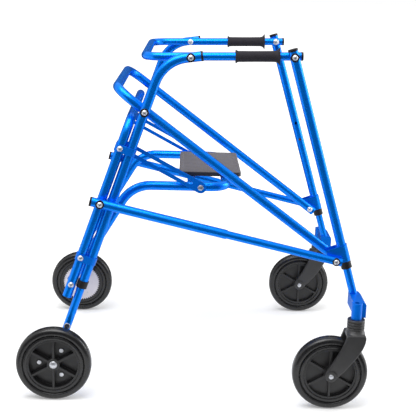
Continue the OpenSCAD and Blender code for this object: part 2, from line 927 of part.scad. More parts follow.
// Axle through the fork and the hub, with a dome at each end
module caster_axle_bolt() {
    half = fork_half_gap + fork_arm_thickness;
    cross_rod(caster_axle, caster_y - half, caster_y + half, axle_diameter);
    dome(caster_axle, caster_y + half, axle_head_diameter, bolt_head_height);
    cross_rod(caster_axle, caster_y - half - nut_height, caster_y - half, axle_head_diameter);
}

module caster_axle_left() {
    color("silver")
        caster_axle_bolt();
}

module caster_axle_right() {
    color("silver")
        mirror([0, 1, 0])
            caster_axle_bolt();
}

// A tyre with stepped, rounded shoulders
module tyre(point, side) {
    half = tyre_width / 2;
    outer = wheel_diameter / 2;
    inner = hub_diameter / 2;
    translate([point[0], side, point[1]])
        rotate([-90, 0, 0])
            rotate_extrude($fn = 96)
                polygon([[inner, sidewall_dip - half], [inner + bead_width, -half],
                    [outer - shoulder_depth, -half],
                    [outer - shoulder_depth + shoulder_step / 2, shoulder_step / 2 - half],
                    [outer - shoulder_step, shoulder_step - half],
                    [outer - shoulder_step / 2, tread_step - half],
                    [outer, tread_step + shoulder_step - half],
                    [outer, half - tread_step - shoulder_step],
                    [outer - shoulder_step / 2, half - tread_step],
                    [outer - shoulder_step, half - shoulder_step],
                    [outer - shoulder_depth + shoulder_step / 2, half - shoulder_step / 2],
                    [outer - shoulder_depth, half],
                    [inner + bead_width, half], [inner, half - sidewall_dip]]);
}

// A hub with a rim, a web, a boss and ribs; the web lies between two lateral offsets
module hub(point, side, web_low, web_high, rib_low) {
    face = tyre_width / 2 - hub_face_inset;
    rim_inner = hub_diameter / 2 - hub_rim_depth;
    translate([point[0], side, point[1]])
        rotate([-90, 0, 0])
            difference() {
                union() {
                    rotate_extrude($fn = 96)
                        polygon([[rim_inner, rib_low], [hub_diameter / 2 - seat_fit, rib_low],
                            [hub_diameter / 2 - seat_fit, face], [rim_inner, face]]);
                    translate([0, 0, web_low])
                        cylinder(r = rim_inner + seat_fit, h = web_high - web_low);
                    translate([0, 0, rib_low])
                        cylinder(d = boss_diameter, h = face - rib_low);
                    for (turn = [0 : rib_count - 1])
                        rotate([0, 0, 90 + turn * 360 / rib_count])
                            translate([0, -rib_width / 2, rib_low])
                                cube([rim_inner + seat_fit, rib_width, face - rib_drop - rib_low]);
                }
                translate([0, 0, rib_low - cut_overrun])
                    cylinder(d = axle_diameter + 2 * running_fit, h = tyre_width + 2 * cut_overrun);
            }
}

module caster_tyre_left() {
    color("dimgray")
        tyre(caster_axle, caster_y);
}

module caster_tyre_right() {
    color("dimgray")
        mirror([0, 1, 0])
            tyre(caster_axle, caster_y);
}

// A caster hub is open on both sides of a middle web
module caster_hub() {
    face = tyre_width / 2 - hub_face_inset;
    hub(caster_axle, caster_y, -caster_web / 2, caster_web / 2, -face);
}

module caster_hub_left() {
    color("gray")
        caster_hub();
}

module caster_hub_right() {
    color("gray")
        mirror([0, 1, 0])
            caster_hub();
}

// A rear leg that telescopes in its upright and carries the axle at its foot
module rear_leg() {
    low = rear_axle - heading(tube_angle) * leg_foot;
    top = lean_spot(upright_low_height, 0) + heading(tube_angle) * rear_leg_overlap;
    difference() {
        rod(low, top, frame_half_width, inner_tube_diameter);
        rod(low + heading(tube_angle) * cap_length, top + heading(tube_angle) * cut_overrun,
            frame_half_width, inner_bore);
        cross_rod(rear_axle, frame_half_width - inner_tube_diameter, frame_half_width + inner_tube_diameter,
            axle_diameter + 2 * seat_fit);
        cross_rod(pawl_foot, frame_half_width - inner_tube_diameter, frame_half_width + inner_tube_diameter,
            bolt_bore);
    }
}

module rear_leg_left() {
    color("royalblue")
        rear_leg();
}

module rear_leg_right() {
    color("royalblue")
        mirror([0, 1, 0])
            rear_leg();
}

// The axle with its spacer, and the bolt on which the pawl turns
module rear_leg_bolts() {
    leg_in = frame_half_width - inner_radius;
    leg_out = frame_half_width + inner_radius;
    hub_out = wheel_y + tyre_width / 2 - hub_face_inset + face_gap;
    cross_rod(rear_axle, leg_in, hub_out, axle_diameter);
    cross_rod(rear_axle, leg_in - nut_height, leg_in, spacer_diameter);
    cross_rod(rear_axle, leg_out, ratchet_in - face_gap, spacer_diameter);
    dome(rear_axle, hub_out, axle_cap_diameter, bolt_head_height);
    cross_rod(pawl_foot, leg_in, pawl_out, bolt_diameter);
    cross_rod(pawl_foot, leg_in - nut_height, leg_in, bolt_head_diameter);
}

module rear_leg_bolts_left() {
    color("silver")
        rear_leg_bolts();
}

module rear_leg_bolts_right() {
    color("silver")
        mirror([0, 1, 0])
            rear_leg_bolts();
}

module rear_tyre_left() {
    color("dimgray")
        tyre(rear_axle, wheel_y);
}

module rear_tyre_right() {
    color("dimgray")
        mirror([0, 1, 0])
            tyre(rear_axle, wheel_y);
}

// The three screw places of a rear wheel
module at_screws(offset) {
    translate([rear_axle[0], wheel_y + offset, rear_axle[1]])
        rotate([-90, 0, 0])
            for (turn = [60, 180, 300])
                rotate([0, 0, turn])
                    translate([screw_circle_radius, 0, 0])
                        children();
}

// A rear hub is open outward only, and its inner face carries the ratchet disc
module rear_hub() {
    inner = -tyre_width / 2;
    floor_offset = tyre_width / 2 - hub_face_inset - recess_depth;
    difference() {
        hub(rear_axle, wheel_y, inner, floor_offset, inner);
        at_screws(inner - cut_overrun)
            cylinder(d = screw_diameter + 2 * seat_fit, h = tyre_width + 2 * cut_overrun);
    }
}

module rear_hub_left() {
    color("gray")
        rear_hub();
}

module rear_hub_right() {
    color("gray")
        mirror([0, 1, 0])
            rear_hub();
}

// White disc with saw teeth round its rim
module ratchet_disc() {
    tip = ratchet_diameter / 2;
    pitch = 360 / tooth_count;
    difference() {
        translate([rear_axle[0], ratchet_in, rear_axle[1]])
            rotate([-90, 0, 0])
                difference() {
                    linear_extrude(ratchet_thickness)
                        polygon([for (tooth = [0 : tooth_count - 1], corner = [0, 1])
                            (tip - corner * tooth_depth) * heading(pitch * (tooth + corner * tooth_share))]);
                    translate([0, 0, -cut_overrun])
                        cylinder(d = spacer_diameter + chamfer, h = ratchet_thickness + 2 * cut_overrun);
                }
        at_screws(-tyre_width)
            cylinder(d = screw_diameter + 2 * seat_fit, h = 2 * tyre_width);
    }
}

module ratchet_disc_left() {
    color("whitesmoke")
        ratchet_disc();
}

module ratchet_disc_right() {
    color("whitesmoke")
        mirror([0, 1, 0])
            ratchet_disc();
}

// Three screws that hold the ratchet disc to the hub
module hub_screws() {
    inner = -tyre_width / 2 - ratchet_thickness;
    floor_offset = tyre_width / 2 - hub_face_inset - recess_depth;
    at_screws(inner)
        cylinder(d = screw_diameter, h = floor_offset - inner + screw_head_height);
    at_screws(floor_offset)
        cylinder(d = screw_head_diameter, h = screw_head_height);
}

module hub_screws_left() {
    color("silver")
        hub_screws();
}

module hub_screws_right() {
    color("silver")
        mirror([0, 1, 0])
            hub_screws();
}

// A pawl whose nose stands just off the ratchet teeth
module pawl() {
    nose = rear_axle + heading(pawl_nose_angle) * (ratchet_diameter / 2 + pawl_nose_gap);
    lever = slope_of(pawl_foot, nose);
    reach = norm(nose - pawl_foot);
    sleeve_low = frame_half_width + inner_radius + face_gap;
    difference() {
        union() {
            translate([pawl_foot[0], pawl_out, pawl_foot[1]])
                rotate([90, 0, 0])
                    rotate([0, 0, lever])
                        linear_extrude(pawl_thickness) {
                            circle(d = pawl_eye_diameter);
                            polygon([[0, -pawl_eye_diameter / 2], [reach, 0], [reach, pawl_nose_width],
                                [0, pawl_eye_diameter / 2]]);
                        }
            cross_rod(pawl_foot, sleeve_low, pawl_out - pawl_thickness / 2, pawl_sleeve_diameter);
        }
        cross_rod(pawl_foot, sleeve_low - cut_overrun, pawl_out + cut_overrun, bolt_bore);
    }
}

module pawl_left() {
    color("dimgray")
        pawl();
}

module pawl_right() {
    color("dimgray")
        mirror([0, 1, 0])
            pawl();
}

// Outer tube of a stay, turning on the hoop
module stay_outer() {
    back = stay_pivot - heading(stay_slope) * stay_rear_reach;
    mouth = stay_pivot + heading(stay_slope) * stay_outer_length;
    difference() {
        rod(back, mouth, stay_y, outer_tube_diameter);
        rod(back - heading(stay_slope) * cut_overrun, mouth + heading(stay_slope) * cut_overrun, stay_y,
            outer_bore);
        cross_rod(stay_pivot, stay_y - outer_tube_diameter, stay_y + outer_tube_diameter, bolt_bore);
    }
}

module stay_outer_left() {
    color("royalblue")
        stay_outer();
}

module stay_outer_right() {
    color("royalblue")
        mirror([0, 1, 0])
            stay_outer();
}

// Inner tube of a stay, sliding in the outer one
module stay_inner() {
    back = stay_pivot + heading(stay_slope) * (stay_outer_length - stay_overlap);
    tip = ear_pivot + heading(stay_slope) * stay_front_reach;
    difference() {
        rod(back, tip, stay_y, inner_tube_diameter);
        rod(back - heading(stay_slope) * cut_overrun, tip - heading(stay_slope) * cap_length, stay_y,
            inner_bore);
        cross_rod(ear_pivot, stay_y - inner_tube_diameter, stay_y + inner_tube_diameter, bolt_bore);
    }
}

module stay_inner_left() {
    color("royalblue")
        stay_inner();
}

module stay_inner_right() {
    color("royalblue")
        mirror([0, 1, 0])
            stay_inner();
}

module stay_plugs() {
    color("dimgray")
        both_sides()
            tube_cap(stay_pivot - heading(stay_slope) * stay_rear_reach, stay_slope + 180, stay_y,
                outer_tube_diameter, outer_bore);
}

module stay_front_bolts() {
    color("silver")
        both_sides() {
            cross_rod(ear_pivot, stay_y - inner_radius, stay_y + inner_radius, bolt_diameter);
            dome(ear_pivot, stay_y + inner_radius, bolt_head_diameter, bolt_head_height);
        }
}

// The run of the seat tubes at a given diameter, with an added length at the lower ends
module seat_run(extra, diameter) {
    start = seat_pivot - heading(seat_slope) * (seat_foot + extra);
    joint_forward = seat_corner_radius + seat_foot;
    finish = spot(seat_front_forward - joint_forward + joint_lap, seat_level_height);
    both_sides()
        bent_rod(start, seat_corner, finish, seat_bend_radius, seat_y, diameter);
    translate([seat_front_forward - half_base, 0, seat_level_height])
        rotate([0, 0, 180])
            u_rod(joint_forward, seat_y, seat_corner_radius, diameter + 2 * joint_step);
}

// Bent U of tube with a second cross bar under the pad
module seat_frame() {
    bar = spot(seat_bar_forward, seat_level_height + outer_radius - inner_radius);
    color("royalblue")
        difference() {
            union() {
                seat_run(0, outer_tube_diameter);
                cross_rod(bar, -seat_y, seat_y, inner_tube_diameter);
            }
            seat_run(cut_overrun, outer_bore);
            both_sides()
                for (point = [seat_pivot, link_bolt])
                    cross_rod(point, seat_y - outer_tube_diameter, seat_y + outer_tube_diameter, bolt_bore);
        }
}

// Upholstered pad with drawn-in sides and a crowned top
module seat_pad() {
    color("dimgray")
        translate([spot(pad_rear_forward, 0)[0] + pad_depth / 2, 0, pad_seat_height])
            hull()
                for (step = [0 : pad_steps]) {
                    turn = -90 + 180 * step / pad_steps;
                    inset = pad_edge_radius * (1 - cos(turn)) + (turn > 0 ? crown_inset * sin(turn) : 0);
                    rise = pad_thickness * (1 + sin(turn)) / 2;
                    for (end = [-1, 1], side = [-1, 1])
                        translate([end * (pad_depth / 2 - pad_corner_radius - inset),
                            side * (pad_width / 2 - pad_corner_radius - inset), rise])
                            cylinder(r = pad_corner_radius, h = seat_fit, center = true, $fn = 24);
                }
}

module link_bolts() {
    tube_in = seat_y - outer_radius;
    color("silver")
        both_sides()
            bolt(link_bolt, tube_in, link_face + face_gap, bolt_head_diameter, thin_head_height);
}

// Slotted flat link from the seat frame to the upper clamp
module seat_link() {
    translate([clamp_high[0], link_face, clamp_high[1]])
        rotate([90, 0, 0])
            rotate([0, 0, link_slope])
                linear_extrude(link_thickness)
                    difference() {
                        union() {
                            circle(d = link_width);
                            translate([link_length, 0])
                                circle(d = link_width);
                            translate([0, -link_width / 2])
                                square([link_length, link_width]);
                        }
                        circle(d = slot_width);
                        translate([link_length - link_width, 0])
                            circle(d = slot_width);
                        translate([0, -slot_width / 2])
                            square([link_length - link_width, slot_width]);
                        translate([link_length, 0])
                            circle(d = bolt_bore);
                    }
}

module seat_link_left() {
    color("mediumblue")
        seat_link();
}

module seat_link_right() {
    color("mediumblue")
        mirror([0, 1, 0])
            seat_link();
}

rear_upright_left();
rear_upright_right();
rear_hoop();
upright_clamps();
clamp_bolts();
pivot_bolts();
stay_bolts();
seat_bolts();
rear_bushes();
upright_rings();
handlebar();
grip_left();
grip_right();
handlebar_plugs();
swing_frame();
swing_bolts();
front_upright_left();
front_upright_right();
front_bushes();
upright_caps();
handle_pins();
front_leg_left();
front_leg_right();
stem_adapter_left();
stem_adapter_right();
snap_button_left();
snap_button_right();
caster_fork_left();
caster_fork_right();
caster_axle_left();
caster_axle_right();
caster_tyre_left();
caster_tyre_right();
caster_hub_left();
caster_hub_right();
rear_leg_left();
rear_leg_right();
rear_leg_bolts_left();
rear_leg_bolts_right();
rear_tyre_left();
rear_tyre_right();
rear_hub_left();
rear_hub_right();
ratchet_disc_left();
ratchet_disc_right();
hub_screws_left();
hub_screws_right();
pawl_left();
pawl_right();
stay_outer_left();
stay_outer_right();
stay_inner_left();
stay_inner_right();
stay_plugs();
stay_front_bolts();
seat_frame();
seat_pad();
link_bolts();
seat_link_left();
seat_link_right();
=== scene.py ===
import json
import math
import bpy
from mathutils import Matrix, Vector


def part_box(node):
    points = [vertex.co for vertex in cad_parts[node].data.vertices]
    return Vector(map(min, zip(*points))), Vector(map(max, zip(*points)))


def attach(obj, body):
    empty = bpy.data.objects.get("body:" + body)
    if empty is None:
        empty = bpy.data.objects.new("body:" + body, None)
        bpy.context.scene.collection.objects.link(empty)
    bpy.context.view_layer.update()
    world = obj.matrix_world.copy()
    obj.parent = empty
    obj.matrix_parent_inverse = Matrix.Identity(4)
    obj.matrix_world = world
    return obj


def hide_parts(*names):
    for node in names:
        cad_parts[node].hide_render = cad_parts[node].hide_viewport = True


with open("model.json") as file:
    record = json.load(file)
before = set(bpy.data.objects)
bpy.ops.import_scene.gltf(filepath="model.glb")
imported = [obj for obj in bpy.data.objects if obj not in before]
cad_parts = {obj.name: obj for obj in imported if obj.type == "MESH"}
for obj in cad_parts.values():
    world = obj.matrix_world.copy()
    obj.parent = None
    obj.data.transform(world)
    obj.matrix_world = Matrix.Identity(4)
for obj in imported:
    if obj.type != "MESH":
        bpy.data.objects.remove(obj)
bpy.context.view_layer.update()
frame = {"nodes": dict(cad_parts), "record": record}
nodes = frame["nodes"]
record = frame["record"]
joints = {joint["name"]: joint for joint in record["behaviour"]["joints"]}
scene = bpy.context.scene
print("frame loaded:", len(nodes), "nodes")

# how the textures of all materials are drawn: detail of the noises, share of a noise that moves the gloss,
# and how far an edge has to turn before its painted highlight begins and is full
texturePlan = {"broadDetail": 4.0, "broadRoughness": 0.6, "fineDetail": 3.0, "patchDetail": 5.0,
               "patchLow": 0.3, "patchHigh": 0.7, "bevelSamples": 4, "highlightBegins": 0.98, "highlightFull": 0.75}

# shading of edges: points closer than weld become one, and edges over the angle in degrees stay sharp
edgePlan = {"weld": 1e-5, "nodeAngle": 35, "pieceAngle": 40}


def linear(code):
    # an sRGB colour code as linear light
    parts = [int(code[i:i + 2], 16) / 255 for i in (1, 3, 5)]
    return [p / 12.92 if p <= 0.04045 else ((p + 0.055) / 1.055) ** 2.4 for p in parts] + [1.0]


def emptyTree(owner):
    owner.use_nodes = True
    owner.node_tree.nodes.clear()
    return owner.node_tree


def addNode(tree, kind, inputs=None, **settings):
    node = tree.nodes.new(kind)
    for name, value in settings.items():
        setattr(node, name, value)
    for name, value in (inputs or {}).items():
        if isinstance(value, bpy.types.NodeSocket):
            tree.links.new(value, node.inputs[name])
        else:
            node.inputs[name].default_value = value
    return node


def mixTones(tree, factor, first, second):
    # sockets 6 and 7 of this node are its two colours, and its output 2 is the mixed colour
    return addNode(tree, "ShaderNodeMix", {"Factor": factor, 6: first, 7: second}, data_type="RGBA").outputs[2]


def newMaterial(name, base, spread, grain, shader, gloss=None, edge=None):
    # base and spread are two close tones that a broad noise mixes, and spread ends with the noise's size;
    # grain is (size, depth, strength), gloss is (size of its patches, lowest and highest roughness) and
    # edge is (rounding, tone of the painted highlight along the edge, how much of it shows), all sizes in metres
    material = bpy.data.materials.new(name)
    tree = emptyTree(material)
    place = addNode(tree, "ShaderNodeTexCoord").outputs["Object"]
    broad = addNode(tree, "ShaderNodeTexNoise", {
        "Vector": place, "Scale": 1 / spread[1], "Detail": texturePlan["broadDetail"],
        "Roughness": texturePlan["broadRoughness"]})
    tone = mixTones(tree, broad.outputs["Fac"], linear(base), linear(spread[0]))
    fine = addNode(tree, "ShaderNodeTexNoise", {
        "Vector": place, "Scale": 1 / grain[0], "Detail": texturePlan["fineDetail"]})
    bump = addNode(tree, "ShaderNodeBump", {
        "Height": fine.outputs["Fac"], "Distance": grain[1], "Strength": grain[2]})
    surface = addNode(tree, "ShaderNodeBsdfPrincipled", dict(shader))
    if edge:
        # painted highlight: the tone turns paler where the rounded normal bends away from the flat one, along edges
        rounding, edgeHighlightTone, edgeHighlightShare = edge
        rounded = addNode(tree, "ShaderNodeBevel", {"Radius": rounding},
                          samples=texturePlan["bevelSamples"]).outputs["Normal"]
        tree.links.new(rounded, bump.inputs["Normal"])
        flat = addNode(tree, "ShaderNodeNewGeometry").outputs["Normal"]
        bend = addNode(tree, "ShaderNodeVectorMath", {0: rounded, 1: flat}, operation="DOT_PRODUCT")
        paintedEdgeHighlight = addNode(tree, "ShaderNodeMapRange", {
            "Value": bend.outputs["Value"], "From Min": texturePlan["highlightBegins"],
            "From Max": texturePlan["highlightFull"], "To Min": 0.0, "To Max": edgeHighlightShare})
        tone = mixTones(tree, paintedEdgeHighlight.outputs["Result"], tone, linear(edgeHighlightTone))
    tree.links.new(tone, surface.inputs["Base Color"])
    tree.links.new(bump.outputs["Normal"], surface.inputs["Normal"])
    if gloss:
        patchSize, low, high = gloss
        patches = addNode(tree, "ShaderNodeTexNoise", {
            "Vector": place, "Scale": 1 / patchSize, "Detail": texturePlan["patchDetail"]})
        uneven = addNode(tree, "ShaderNodeMapRange", {
            "Value": patches.outputs["Fac"], "From Min": texturePlan["patchLow"],
            "From Max": texturePlan["patchHigh"], "To Min": low, "To Max": high})
        tree.links.new(uneven.outputs["Result"], surface.inputs["Roughness"])
    addNode(tree, "ShaderNodeOutputMaterial", {"Surface": surface.outputs["BSDF"]})
    return material


def smoothEdges(obj, angle):
    for polygon in obj.data.polygons:
        polygon.use_smooth = True
    weld = obj.modifiers.new("closeSeams", "WELD")
    weld.merge_threshold = edgePlan["weld"]
    split = obj.modifiers.new("sharpEdges", "EDGE_SPLIT")
    split.split_angle = math.radians(angle)


def addObject(name, points, faces, *materials):
    mesh = bpy.data.meshes.new(name)
    mesh.from_pydata([tuple(point) for point in points], [], faces)
    for material in materials:
        mesh.materials.append(material)
    made = bpy.data.objects.new(name, mesh)
    scene.collection.objects.link(made)
    return made


def addPiece(name, points, faces, material, body, slotName):
    piece = addObject(name, points, faces, material)
    smoothEdges(piece, edgePlan["pieceAngle"])
    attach(piece, body)
    return piece


def band(low, high):
    # quads between two closed rings of point numbers
    count = len(low)
    return [(low[n], low[(n + 1) % count], high[(n + 1) % count], high[n]) for n in range(count)]


def ringFaces(count, steps, closed):
    # quads from ring to ring, back to the first ring if closed, or else with a flat face at both ends
    rings = [range(k * steps, (k + 1) * steps) for k in range(count)]
    pairs = list(zip(rings, rings[1:] + rings[:1]))
    faces = [quad for low, high in (pairs if closed else pairs[:-1]) for quad in band(low, high)]
    return faces if closed else faces + [tuple(reversed(rings[0])), tuple(rings[-1])]


def flipped(faces):
    return [tuple(reversed(face)) for face in faces]


def joined(shells):
    points, faces = [], []
    for morePoints, moreFaces in shells:
        faces += [tuple(k + len(points) for k in face) for face in moreFaces]
        points += [tuple(point) for point in morePoints]
    return points, faces


def prism(outline, low, high):
    # a closed outline of (x, z) drawn out from y low to y high
    points = [(x, low, z) for x, z in outline] + [(x, high, z) for x, z in outline]
    return points, ringFaces(2, len(outline), False)


def arc(middle, radius, start, stop, steps):
    turns = [math.radians(start + (stop - start) * n / steps) for n in range(steps + 1)]
    return [(middle[0] + radius * math.cos(t), middle[1] + radius * math.sin(t)) for t in turns]


def spun(rings, centre, axis, first, steps, closed):
    # rings of (radius, place along the axis) turned about an axis through a centre, from the direction first
    second = axis.cross(first)
    points = []
    for radius, along in rings:
        for n in range(steps):
            angle = 2 * math.pi * n / steps
            points.append(centre + axis * along + first * radius * math.cos(angle) + second * radius * math.sin(angle))
    return points, ringFaces(len(rings), steps, closed)


axisX, axisY, axisZ = Vector((1, 0, 0)), Vector((0, 1, 0)), Vector((0, 0, 1))

# the paler edge tones given to the materials below are painted highlights along their rounded edges
# candy blue powder coat: tinted clear over bright primer, so its shine is blue rather than white,
# with faint orange peel
bluePaint = newMaterial(
    "candyBluePowderCoat", "#0078EC", ("#0082F4", 0.12), (0.003, 0.0002, 0.03),
    {"Metallic": 0.66, "Specular Tint": (0.1, 0.6, 1.0, 1.0), "Coat Weight": 0.12, "Coat Roughness": 0.06},
    gloss=(0.03, 0.26, 0.32))

# the same coat on pressed plates and castings, a little deeper and less glossy
bluePlate = newMaterial(
    "bluePowderCoatOnPlate", "#0068DC", ("#0070E4", 0.06), (0.003, 0.0002, 0.05),
    {"Metallic": 0.3, "Specular Tint": (0.1, 0.6, 1.0, 1.0), "Coat Weight": 0.04, "Coat Roughness": 0.1},
    gloss=(0.02, 0.28, 0.4), edge=(0.0012, "#1E86FF", 0.6))

# bright zinc plate: clean metal with a soft satin bloom
zincPlate = newMaterial(
    "brightZincPlate", "#DCDEE2", ("#BCBFC6", 0.006), (0.0012, 0.0002, 0.1), {"Metallic": 1.0},
    gloss=(0.004, 0.36, 0.5), edge=(0.0008, "#E6E8EA", 0.5))

# moulded black plastic with a fine spark-eroded texture
blackPlastic = newMaterial(
    "mouldedBlackPlastic", "#141315", ("#1C1A1C", 0.012), (0.0012, 0.0002, 0.2),
    {"IOR": 1.46, "Specular IOR Level": 0.3}, gloss=(0.006, 0.38, 0.52), edge=(0.0012, "#343236", 0.6))

# closed-cell foam: matt black with tiny pores
gripFoam = newMaterial(
    "closedCellGripFoam", "#242227", ("#2E2C32", 0.01), (0.0016, 0.0004, 0.5),
    {"Roughness": 0.75, "Specular IOR Level": 0.2}, edge=(0.0015, "#3C3A40", 0.5))

# tyre rubber: grey-black with a soft shine, made paler along its raised rings by a painted highlight
tyreRubber = newMaterial(
    "solidTyreRubber", "#161617", ("#1E1E1F", 0.03), (0.0016, 0.0002, 0.12),
    {"Specular IOR Level": 0.5}, gloss=(0.015, 0.2, 0.3), edge=(0.0016, "#4A4A4C", 0.7))

# glass-filled nylon of the hubs: dark grey with a leathery mould grain
nylonGrey = newMaterial(
    "glassFilledNylon", "#1D1D1E", ("#262627", 0.02), (0.0016, 0.0002, 0.18),
    {"IOR": 1.5, "Specular IOR Level": 0.45}, gloss=(0.01, 0.3, 0.42), edge=(0.0016, "#48484A", 0.7))

# nylon of the forks, scuffed to a paler dusty grey
forkNylon = newMaterial(
    "scuffedForkNylon", "#2A2A2B", ("#353536", 0.025), (0.0016, 0.0002, 0.2),
    {"IOR": 1.5, "Specular IOR Level": 0.5}, gloss=(0.01, 0.34, 0.46), edge=(0.002, "#5C5C5E", 0.7))

# off-white acetal of the ratchet discs
whiteAcetal = newMaterial(
    "offWhiteAcetal", "#E6E1E6", ("#D6D1D8", 0.015), (0.0012, 0.0002, 0.15), {"IOR": 1.48},
    gloss=(0.008, 0.3, 0.45), edge=(0.0008, "#F4F2F6", 0.5))

# turned brass of the snap buttons
turnedBrass = newMaterial(
    "turnedBrass", "#C98A3C", ("#B5762C", 0.003), (0.0008, 0.0002, 0.15), {"Metallic": 1.0},
    gloss=(0.002, 0.25, 0.4))

# woven nylon of the seat top: grey-brown, with a fine uneven grain
seatFabric = newMaterial(
    "wovenSeatNylon", "#48444A", ("#544F50", 0.03), (0.0012, 0.0004, 0.5),
    {"IOR": 1.45, "Sheen Weight": 0.15, "Sheen Roughness": 0.5}, gloss=(0.02, 0.6, 0.78))

# coated edge cloth round and under the seat: nearly black and smoother, and also the painted shade of the cushion's
# sides and underside
seatEdgeClothAndShade = newMaterial(
    "coatedEdgeClothAndPaintedShade", "#232122", ("#2C2A2B", 0.02), (0.0012, 0.0004, 0.3), {"IOR": 1.45},
    gloss=(0.02, 0.5, 0.66))

# bonded nylon thread: a lighter grey with a dull shine
seatThread = newMaterial(
    "bondedNylonThread", "#7B7678", ("#8A8587", 0.004), (0.0008, 0.0002, 0.3), {"IOR": 1.53},
    gloss=(0.003, 0.4, 0.55))
print("materials made")

paintOf = {"blue_paint": bluePaint, "blue_clamp": bluePlate, "bright_steel": zincPlate,
           "black_plastic": blackPlastic, "grip_foam": gripFoam, "tyre_rubber": tyreRubber,
           "hub_plastic": nylonGrey, "fork_plastic": nylonGrey, "white_plastic": whiteAcetal,
           "brass": turnedBrass, "seat_vinyl": seatFabric}
for entry in record["subparts"]:
    node = nodes[entry["node"]]
    node.data.materials.clear()
    node.data.materials.append(paintOf[entry["material_slot"]])
    smoothEdges(node, edgePlan["nodeAngle"])
print("nodes dressed")

# seat pad: a thin sewn cushion on a board, swollen by its foam inside a stitched line, dark round its edge and below,
# partly edge cloth and partly painted shade;
# rimLines run from the edge, seamLines from the seam and sideLines from below, all in metres
padPlan = {"cornerRadius": 0.012, "edgeHeight": 0.0100, "edgeRoll": 0.0016, "edgePower": 0.6,
           "seamInset": 0.009, "seamHeight": 0.0102, "seamSlack": 0.0005, "middleHeight": 0.0124, "swell": 0.03,
           "gridStep": 0.0058, "rimLines": (0.0, 0.0012, 0.0035, 0.0062),
           "seamLines": (-0.0014, 0.0, 0.0014, 0.0042), "sideLines": (0.0012, 0.0042, 0.0072), "underside": 0.001,
           "fabric": 0, "darkClothAndShade": 1, "pressure": 4.0, "frames": 20, "cap": 0.0034}
# slack cloth: low waves about 28 mm apart that wander along the seat, turns in radians per metre
wavePlan = {"height": 0.0006, "turnX": 225, "wander": 1.6, "wanderTurn": 41, "crossY": 67, "crossX": 38}
padLow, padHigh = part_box("seat_pad")


def padLines(low, high):
    # grid lines close together at the edge and the seam, even across the middle
    rim = list(padPlan["rimLines"]) + [padPlan["seamInset"] + step for step in padPlan["seamLines"]]
    count = round((high - low - 2 * rim[-1]) / padPlan["gridStep"])
    step = (high - low - 2 * rim[-1]) / count
    even = [low + rim[-1] + step * i for i in range(1, count)]
    return [low + r for r in rim] + even + [high - r for r in reversed(rim)]


def padInset(x, y):
    return min(x - padLow.x, padHigh.x - x, y - padLow.y, padHigh.y - y)


def roundedCorner(x, y):
    # pulls the square corners of the grid in to the pad's corner radius
    radius = padPlan["cornerRadius"]
    coreX = min(max(x, padLow.x + radius), padHigh.x - radius)
    coreY = min(max(y, padLow.y + radius), padHigh.y - radius)
    offX, offY = x - coreX, y - coreY
    reach = math.hypot(offX, offY)
    pull = max(abs(offX), abs(offY)) / reach if reach > 0 else 1
    return coreX + offX * pull, coreY + offY * pull


def padHeight(x, y):
    inset, seam = padInset(x, y), padPlan["seamInset"]
    if inset < seam - padPlan["seamSlack"]:
        roll = math.sin(math.pi * min(inset / seam, 1)) ** padPlan["edgePower"]
        return padPlan["edgeHeight"] + padPlan["edgeRoll"] * roll
    rise = min((inset - seam) / padPlan["swell"], 1)
    wander = wavePlan["wander"] * math.sin(wavePlan["wanderTurn"] * y)
    wave = math.sin(wavePlan["turnX"] * x + wander) * math.sin(wavePlan["crossY"] * y + wavePlan["crossX"] * x)
    crown = (padPlan["middleHeight"] - padPlan["seamHeight"]) * math.sin(rise * math.pi / 2)
    return padPlan["seamHeight"] + crown + wave * wavePlan["height"] * rise


linesX, linesY = padLines(padLow.x, padHigh.x), padLines(padLow.y, padHigh.y)
columns, rows = len(linesX), len(linesY)
points, faces, pinned = [], [], []
for layer in ("top", "bottom"):
    for x in linesX:
        for y in linesY:
            height = padHeight(x, y) if layer == "top" else 0
            if layer == "bottom" or padInset(x, y) < padPlan["seamInset"] + padPlan["seamSlack"]:
                pinned.append(len(points))
            points.append((*roundedCorner(x, y), padLow.z + height))
for i in range(columns - 1):
    for j in range(rows - 1):
        a = i * rows + j
        quad = (a, a + rows, a + rows + 1, a + 1)
        faces.append(quad)
        faces.append(tuple(k + columns * rows for k in reversed(quad)))
loop = ([i * rows for i in range(columns)] + [(columns - 1) * rows + j for j in range(1, rows)]
        + [i * rows + rows - 1 for i in range(columns - 2, -1, -1)] + [j for j in range(rows - 2, 0, -1)])
sideFrom = len(faces)
ring = [k + columns * rows for k in loop]
for height in padPlan["sideLines"]:
    fresh = list(range(len(points), len(points) + len(loop)))
    pinned += fresh
    points += [(points[k][0], points[k][1], padLow.z + height) for k in loop]
    faces += band(ring, fresh)
    ring = fresh
faces += band(ring, loop)
pad = addObject("seatCushion", points, faces, seatFabric, seatEdgeClothAndShade)
for polygon in pad.data.polygons:
    polygon.use_smooth = True
    # the sides and the underside take the dark edge cloth, which also paints their shade
    sideOrUnderside = polygon.index >= sideFrom or polygon.center.z < padLow.z + padPlan["underside"]
    polygon.material_index = padPlan["darkClothAndShade"] if sideOrUnderside else padPlan["fabric"]
bpy.context.view_layer.objects.active = pad
restPlaces = [vertex.co.copy() for vertex in pad.data.vertices]
held = pad.vertex_groups.new(name="sewnAndSeated")
held.add(pinned, 1.0, "REPLACE")
cloth = pad.modifiers.new("foam", "CLOTH")
cloth.settings.use_pressure = True
cloth.settings.uniform_pressure_force = padPlan["pressure"]
cloth.settings.effector_weights.gravity = 0
cloth.settings.vertex_group_mass = held.name
cloth.point_cache.frame_start = 1
cloth.point_cache.frame_end = padPlan["frames"]
for step in range(1, padPlan["frames"] + 1):
    scene.frame_set(step)
bpy.ops.object.modifier_apply(modifier=cloth.name)
